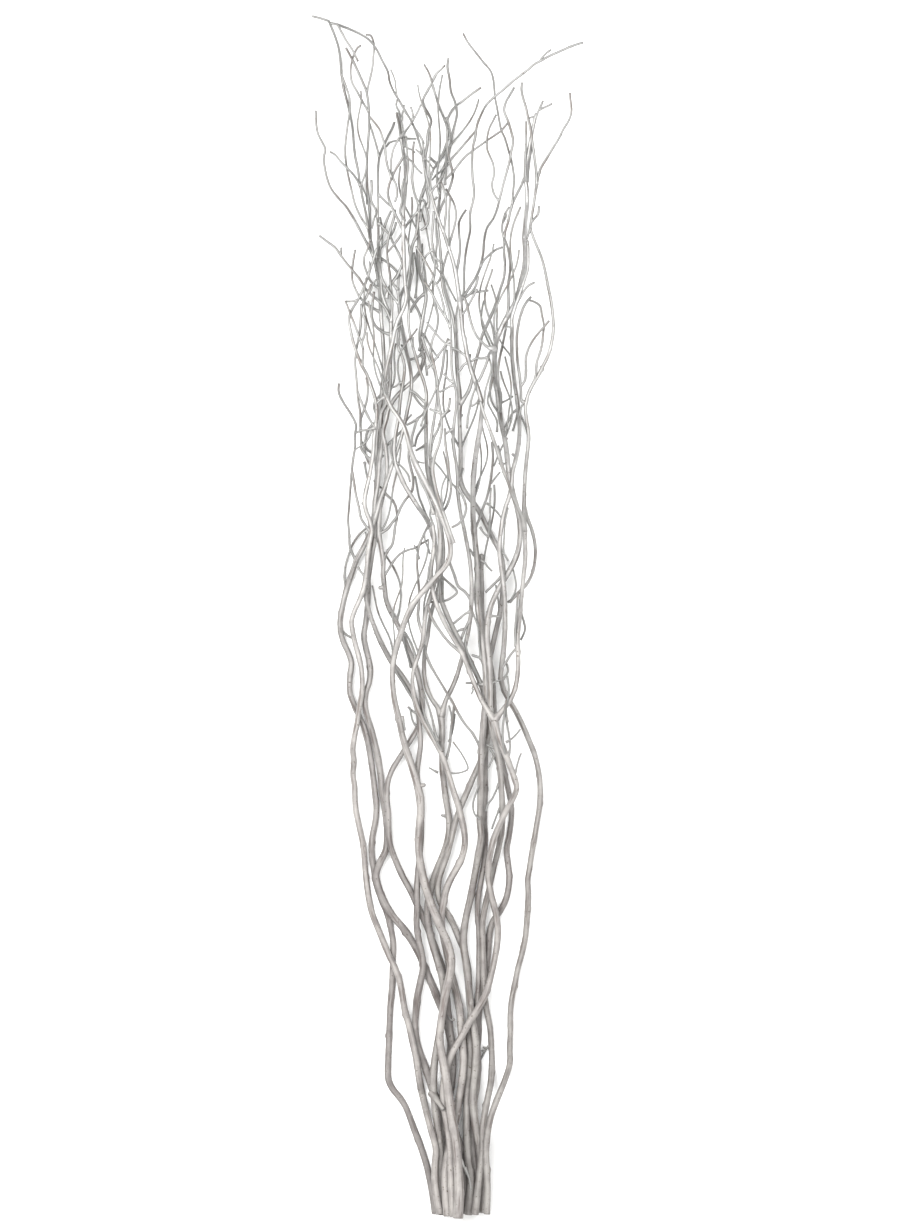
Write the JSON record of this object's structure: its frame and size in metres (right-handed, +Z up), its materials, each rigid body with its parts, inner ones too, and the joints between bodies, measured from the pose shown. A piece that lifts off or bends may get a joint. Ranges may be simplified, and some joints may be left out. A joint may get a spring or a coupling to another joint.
{
  "type": "curly willow stems",
  "caption": "Loose bunch of dried curly willow stems, painted silver-champagne, wavy and thinly branched, lying on its side as a decorative filler.",
  "frame": {"origin": "On the surface that the bunch lies on, under the middle of its bounding box", "axes": "+Y along the bunch from the cut ends to the tips, +X across it, +Z up from the surface it lies on"},
  "size_m": [0.2702, 1.2018, 0.0991],
  "materials": {
    "painted_willow": "dried bark under satin silver-champagne spray paint"
  },
  "bodies": {
    "root": {"stem_left_outer": "painted_willow", "stem_left_back": "painted_willow", "stem_left_inner": "painted_willow", "stem_centre_crown": "painted_willow", "stem_right_broken": "painted_willow", "stem_right_slim": "painted_willow", "stem_forked": "painted_willow", "stem_middle_bow": "painted_willow", "stem_right_to_crown": "painted_willow", "stem_right_tall": "painted_willow", "stem_right_outer": "painted_willow", "stem_left_front": "painted_willow", "stem_middle_slim": "painted_willow", "stem_right_wishbone": "painted_willow", "stem_centre_front": "painted_willow", "stem_caught_piece": "painted_willow"}
  },
  "joints": []
}
